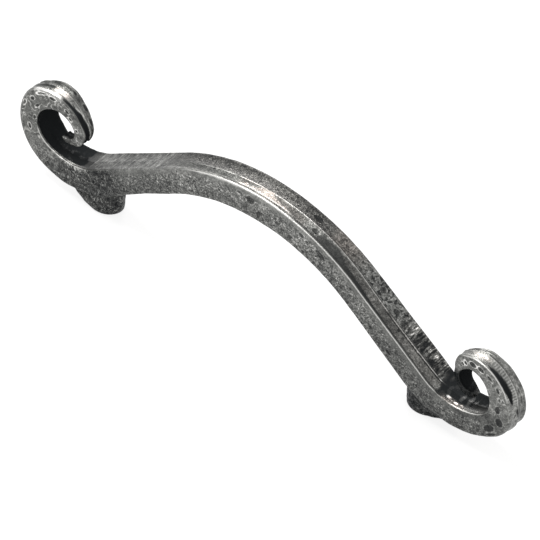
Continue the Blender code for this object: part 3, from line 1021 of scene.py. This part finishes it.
def add_marks(tree, worn, spot, place):
    """Small pits, the fine lines cut across the right scroll, and the dents with their rims."""
    pits = step(tree, lumps(tree, spot, 1.0, 1.0, 0.8), 0.1, 0.7)
    worn = maths(tree, "SUBTRACT", worn, maths(tree, "MULTIPLY", pits, layer(tree, "pitted")))
    along = add_node(tree, "ShaderNodeSeparateXYZ", {"Vector": place}).outputs["X"]
    hatching = maths(tree, "SINE", maths(tree, "MULTIPLY", along, 2 * math.pi / HATCH_SPACING))
    worn = maths(tree, "MULTIPLY_ADD", maths(tree, "MULTIPLY", hatching, 0.08), layer(tree, "hatch"), worn)
    dent = layer(tree, "dent")
    floor = maths(tree, "MULTIPLY", step(tree, dent, 0.02, -0.2), 0.24)
    worn = maths(tree, "SUBTRACT", worn, maths(tree, "MULTIPLY", floor, layer(tree, "open")))
    return maths(tree, "MULTIPLY_ADD", band(tree, dent, 0.1, 0.16), layer(tree, "eye"), worn)


def add_lines(tree, worn, pebbles):
    """The bright beads and ridge, the painted shade beside them, and the crease over the right post."""
    from_ridge = maths(tree, "ADD", layer(tree, "from_ridge"), maths(tree, "MULTIPLY", pebbles, 0.05))
    from_bead = maths(tree, "MULTIPLY_ADD", pebbles, 0.12, layer(tree, "from_bead"))
    crease = layer(tree, "crease")
    for name, distance, middle, reach, target, strength in (
        ("shadow", from_ridge, 0.28, 0.2, 0.18, 0.9), ("twin", from_ridge, -0.3, 0.2, 0.12, 1.0),
        ("ridge", from_ridge, 0.0, 0.2, 0.95, 1.0), ("bead", from_bead, 0.0, 1.0, 0.9, 1.0),
        ("groove", layer(tree, "from_groove"), 0.0, 1.0, 0.28, 1.0),
        ("crease_share", crease, -0.2, 0.25, 0.1, 0.9), ("crease_share", crease, 0.12, 0.15, 0.6, 0.8),
    ):
        line = band(tree, distance, middle, reach)
        worn = toward(tree, worn, target, line, layer(tree, name), strength)
    return worn


def metal_colour(tree, worn):
    ramp = add_node(tree, "ShaderNodeValToRGB", {"Fac": worn})
    for position, _ in METAL_COLOURS[1:-1]:
        ramp.color_ramp.elements.new(position)
    for element, (position, colour) in zip(ramp.color_ramp.elements, METAL_COLOURS):
        element.position = position
        element.color = (*colour, 1.0)
    inputs = {"Factor": layer(tree, "warm"), "A": ramp.outputs["Color"], "B": (*WARM_TINT, 1.0)}
    tint = add_node(tree, "ShaderNodeMix", inputs, data_type="RGBA", blend_type="MULTIPLY")
    return tint.outputs["Result"]


def make_metal():
    """Dark patina in the hollows, bright worn metal on what stands out, and painted highlights and shade,
    over a grained skin.
    """
    material = bpy.data.materials.new("worked_cast_metal")
    material.use_nodes = True
    tree = material.node_tree
    spot = scaled(tree, tree.nodes.new("ShaderNodeTexCoord").outputs["Object"], (1 / MM,) * 3)
    place = layer(tree, "place", "Vector")
    mottle = layer(tree, "mottle")
    pebbles = lumps(tree, spot, 1.5, 2.0)
    skin = grained_skin(tree, spot, place, pebbles)
    # The tone that worn starts from holds painted highlights and painted shade as well as patina and wear.
    worn = maths(tree, "MULTIPLY_ADD", skin, mottle, layer(tree, "tone"))
    worn = maths(tree, "MULTIPLY_ADD", light_web(tree, spot), WEB_STRENGTH, worn)
    worn = add_marks(tree, worn, spot, place)
    worn = add_lines(tree, worn, pebbles)
    metallic = step(tree, worn, 0.05, 0.22)
    roughness = add_node(tree, "ShaderNodeMapRange", {"Value": worn, "To Min": 0.55, "To Max": 0.3})
    rise = maths(tree, "MULTIPLY", maths(tree, "MULTIPLY", skin, mottle), layer(tree, "open"))
    bump = add_node(tree, "ShaderNodeBump", {"Height": rise, "Distance": GRAIN_RISE, "Strength": 1.0})
    for name, socket in (
        ("Base Color", metal_colour(tree, worn)), ("Metallic", metallic),
        ("Specular IOR Level", maths(tree, "MULTIPLY", metallic, 0.5)),
        ("Roughness", roughness.outputs["Result"]), ("Normal", bump.outputs["Normal"]),
    ):
        tree.links.new(socket, tree.nodes["Principled BSDF"].inputs[name])
    return material


def make_camera():
    azimuth, elevation = CAMERA_AZIMUTH, CAMERA_ELEVATION
    back = Vector((
        math.sin(azimuth) * math.cos(elevation),
        -math.cos(azimuth) * math.cos(elevation),
        math.sin(elevation),
    ))
    level = Vector((math.cos(azimuth), math.sin(azimuth), 0.0))
    rise = back.cross(level)
    right = math.cos(CAMERA_ROLL) * level + math.sin(CAMERA_ROLL) * rise
    up = back.cross(right)
    data = bpy.data.cameras.new("camera")
    data.lens = CAMERA_LENS
    data.sensor_width = SENSOR_WIDTH
    data.clip_end = 100.0
    camera = bpy.data.objects.new("camera", data)
    bpy.context.scene.collection.objects.link(camera)
    turn = Matrix((right, up, back)).transposed().to_4x4()
    camera.matrix_world = Matrix.Translation(CAMERA_AIM + back * CAMERA_DISTANCE) @ turn
    bpy.context.scene.camera = camera


def seen_directly(tree):
    """1 for camera, glossy and transmission rays, 0 for the others."""
    rays = tree.nodes.new("ShaderNodeLightPath").outputs
    seen = maths(tree, "MAXIMUM", rays["Is Camera Ray"], rays["Is Glossy Ray"])
    return maths(tree, "MAXIMUM", seen, rays["Is Transmission Ray"])


def make_world():
    """White wherever it is seen, and dimmer as a light."""
    world = bpy.data.worlds.new("studio")
    bpy.context.scene.world = world
    world.use_nodes = True
    tree = world.node_tree
    background = tree.nodes["Background"]
    background.inputs["Color"].default_value = (1.0, 1.0, 1.0, 1.0)
    inputs = {"Value": seen_directly(tree), "To Min": WORLD_LIGHT, "To Max": 1.0}
    strength = add_node(tree, "ShaderNodeMapRange", inputs)
    tree.links.new(strength.outputs["Result"], background.inputs["Strength"])


def make_floor():
    """A pale floor that keeps the shadows and glows into the white behind it."""
    bpy.ops.mesh.primitive_plane_add(size=FLOOR_SIZE)
    floor = bpy.context.object
    floor.name = "floor"
    material = bpy.data.materials.new("pale_floor")
    material.use_nodes = True
    tree = material.node_tree
    tree.nodes.clear()
    diffuse = add_node(tree, "ShaderNodeBsdfDiffuse", {"Color": (*FLOOR_COLOUR, 1.0)})
    strength = maths(tree, "MULTIPLY", seen_directly(tree), FLOOR_GLOW)
    glow = add_node(tree, "ShaderNodeEmission", {"Strength": strength})
    both = add_node(tree, "ShaderNodeAddShader", {0: diffuse.outputs[0], 1: glow.outputs[0]})
    add_node(tree, "ShaderNodeOutputMaterial", {"Surface": both.outputs[0]})
    floor.data.materials.append(material)


def add_softbox(name, direction, distance, size, power, colour):
    data = bpy.data.lights.new(name, "AREA")
    data.shape = "RECTANGLE"
    data.size, data.size_y = size
    data.energy = power
    data.color = colour
    lamp = bpy.data.objects.new(name, data)
    bpy.context.scene.collection.objects.link(lamp)
    toward = Vector(direction).normalized()
    lamp.location = toward * distance
    lamp.rotation_euler = toward.to_track_quat("Z", "Y").to_euler()


def make_lights():
    add_softbox("overhead", (-0.5, 0.1, 1.0), 1.2, (0.7, 0.7), 8.0, (1.0, 0.99, 0.97))
    add_softbox("behind_left", (-0.55, 0.78, 0.33), 1.2, (0.5, 0.3), 6.0, (1.0, 0.97, 0.95))


casting, skin = make_casting()
work_surface(casting, skin)
casting.data.materials.clear()
casting.data.materials.append(make_metal())
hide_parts("pull")
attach(casting, "root")

make_camera()
make_world()
make_floor()
make_lights()
bpy.context.scene.view_settings.view_transform = "Standard"
